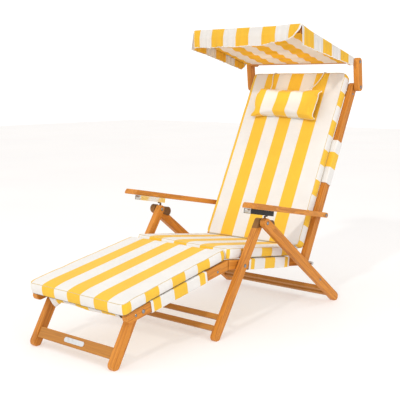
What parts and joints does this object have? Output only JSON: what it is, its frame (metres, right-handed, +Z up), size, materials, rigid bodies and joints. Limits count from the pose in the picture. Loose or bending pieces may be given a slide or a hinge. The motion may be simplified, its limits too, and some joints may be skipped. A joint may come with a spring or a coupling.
{
  "type": "reclining deck lounger with canopy",
  "caption": "Folding wooden lounger with a hinged footrest, ratchet armrests, padded striped seat and back cushions, a head pillow and a tilting sun canopy.",
  "frame": {"origin": "on the floor, under the middle of the whole lounger's bounding box", "axes": "+Z up, +Y from the footrest towards the back, +X to the sitter's left"},
  "size_m": [0.702, 1.4852, 1.1993],
  "materials": {
    "teak": "satin",
    "dark_teak": "satin",
    "striped_cloth": "matte",
    "white_cord": "matte",
    "steel": "satin"
  },
  "bodies": {
    "front_legs": {"front_leg_left": "teak", "front_leg_right": "teak", "pivot_bolt_left": "steel", "pivot_bolt_right": "steel", "seat_bolt_left": "steel", "seat_bolt_right": "steel", "front_stretcher_upper": "dark_teak", "front_stretcher_lower": "dark_teak"},
    "rear_legs": {"rear_leg_left": "teak", "rear_leg_right": "teak", "rear_stretcher_upper": "dark_teak", "rear_stretcher_lower": "dark_teak"},
    "latch_left": {"latch_hook_left": "steel"},
    "latch_right": {"latch_hook_right": "steel"},
    "seat": {"seat_rail_left": "teak", "seat_rail_right": "teak", "seat_sling": "striped_cloth", "seat_cushion": "striped_cloth", "seat_strap_left": "steel", "seat_strap_right": "steel", "back_axle": "steel"},
    "footrest": {"footrest_rail_left": "teak", "footrest_rail_right": "teak", "footrest_bolt_left": "steel", "footrest_bolt_right": "steel", "footrest_front_dowel": "dark_teak", "footrest_sling": "striped_cloth", "footrest_cushion": "striped_cloth", "footrest_strap_left": "steel", "footrest_strap_right": "steel"},
    "footrest_legs": {"footrest_leg_left": "teak", "footrest_leg_right": "teak", "footrest_crossbar": "dark_teak", "footrest_plate": "steel"},
    "back": {"back_rail_left": "teak", "back_rail_right": "teak", "back_top_bar": "dark_teak", "back_sling": "striped_cloth", "back_cushion": "striped_cloth", "head_pillow": "striped_cloth", "pillow_cord_left": "white_cord", "pillow_cord_right": "white_cord", "armrest_bolt_left": "steel", "armrest_bolt_right": "steel"},
    "arm_left": {"armrest_left": "teak", "ratchet_channel_left": "steel"},
    "arm_right": {"armrest_right": "teak", "ratchet_channel_right": "steel"},
    "links": {"canopy_link_left": "teak", "canopy_link_right": "teak"},
    "canopy": {"canopy_rail_left": "teak", "canopy_rail_right": "teak", "canopy_front_bar": "teak", "canopy_rear_bar": "teak", "canopy_cover": "striped_cloth"},
    "lower_wing_left": {"lower_wing_bolt_left": "steel"},
    "lower_wing_right": {"lower_wing_bolt_right": "steel"},
    "upper_wing_left": {"upper_wing_bolt_left": "steel"},
    "upper_wing_right": {"upper_wing_bolt_right": "steel"}
  },
  "joints": [
    {"name": "frame_fold", "type": "hinge", "parent": "front_legs", "child": "seat", "pos_m": [0, -0.08743, 0.26204], "axis": [1, 0, 0], "range_deg": [0, 38]},
    {"name": "rear_leg_fold", "type": "hinge", "parent": "front_legs", "child": "rear_legs", "pos_m": [0, 0.01786, 0.419], "axis": [1, 0, 0], "range_deg": [-53, 0]},
    {"name": "latch_left_turn", "type": "hinge", "parent": "front_legs", "child": "latch_left", "pos_m": [0, 0.01786, 0.419], "axis": [1, 0, 0], "range_deg": [0, 38.5]},
    {"name": "latch_right_turn", "type": "hinge", "parent": "front_legs", "child": "latch_right", "pos_m": [0, 0.01786, 0.419], "axis": [1, 0, 0], "range_deg": [0, 38.5]},
    {"name": "back_recline", "type": "hinge", "parent": "seat", "child": "back", "pos_m": [0, 0.34571, 0.20405], "axis": [1, 0, 0], "range_deg": [-30, 4]},
    {"name": "arm_left_turn", "type": "hinge", "parent": "back", "child": "arm_left", "pos_m": [0, 0.44513, 0.39918], "axis": [1, 0, 0], "range_deg": [-3.5, 24]},
    {"name": "arm_right_turn", "type": "hinge", "parent": "back", "child": "arm_right", "pos_m": [0, 0.44513, 0.39918], "axis": [1, 0, 0], "range_deg": [-3.5, 24]},
    {"name": "footrest_tilt", "type": "hinge", "parent": "seat", "child": "footrest", "pos_m": [0, -0.15213, 0.25355], "axis": [-1, 0, 0], "range_deg": [-18, 0]},
    {"name": "footrest_leg_fold", "type": "hinge", "parent": "footrest", "child": "footrest_legs", "pos_m": [0, -0.62221, 0.19044], "axis": [1, 0, 0], "range_deg": [0, 118]},
    {"name": "canopy_link_tilt", "type": "hinge", "parent": "back", "child": "links", "pos_m": [0, 0.72388, 0.94625], "axis": [1, 0, 0], "range_deg": [-25, 25]},
    {"name": "canopy_tilt", "type": "hinge", "parent": "links", "child": "canopy", "pos_m": [0, 0.71207, 1.05864], "axis": [1, 0, 0], "range_deg": [-25, 20]},
    {"name": "lower_wing_left_turn", "type": "hinge", "parent": "back", "child": "lower_wing_left", "pos_m": [0, 0.72388, 0.94625], "axis": [1, 0, 0], "continuous": true},
    {"name": "lower_wing_right_turn", "type": "hinge", "parent": "back", "child": "lower_wing_right", "pos_m": [0, 0.72388, 0.94625], "axis": [1, 0, 0], "continuous": true},
    {"name": "upper_wing_left_turn", "type": "hinge", "parent": "links", "child": "upper_wing_left", "pos_m": [0, 0.71207, 1.05864], "axis": [1, 0, 0], "continuous": true},
    {"name": "upper_wing_right_turn", "type": "hinge", "parent": "links", "child": "upper_wing_right", "pos_m": [0, 0.71207, 1.05864], "axis": [1, 0, 0], "continuous": true}
  ],
  "couplings": [
    {"joint": "rear_leg_fold", "follows": "frame_fold", "ratio": -1.38},
    {"joint": "latch_left_turn", "follows": "frame_fold", "ratio": 1},
    {"joint": "latch_right_turn", "follows": "frame_fold", "ratio": 1},
    {"joint": "arm_left_turn", "follows": "back_recline", "ratio": -0.79},
    {"joint": "arm_right_turn", "follows": "back_recline", "ratio": -0.79}
  ]
}
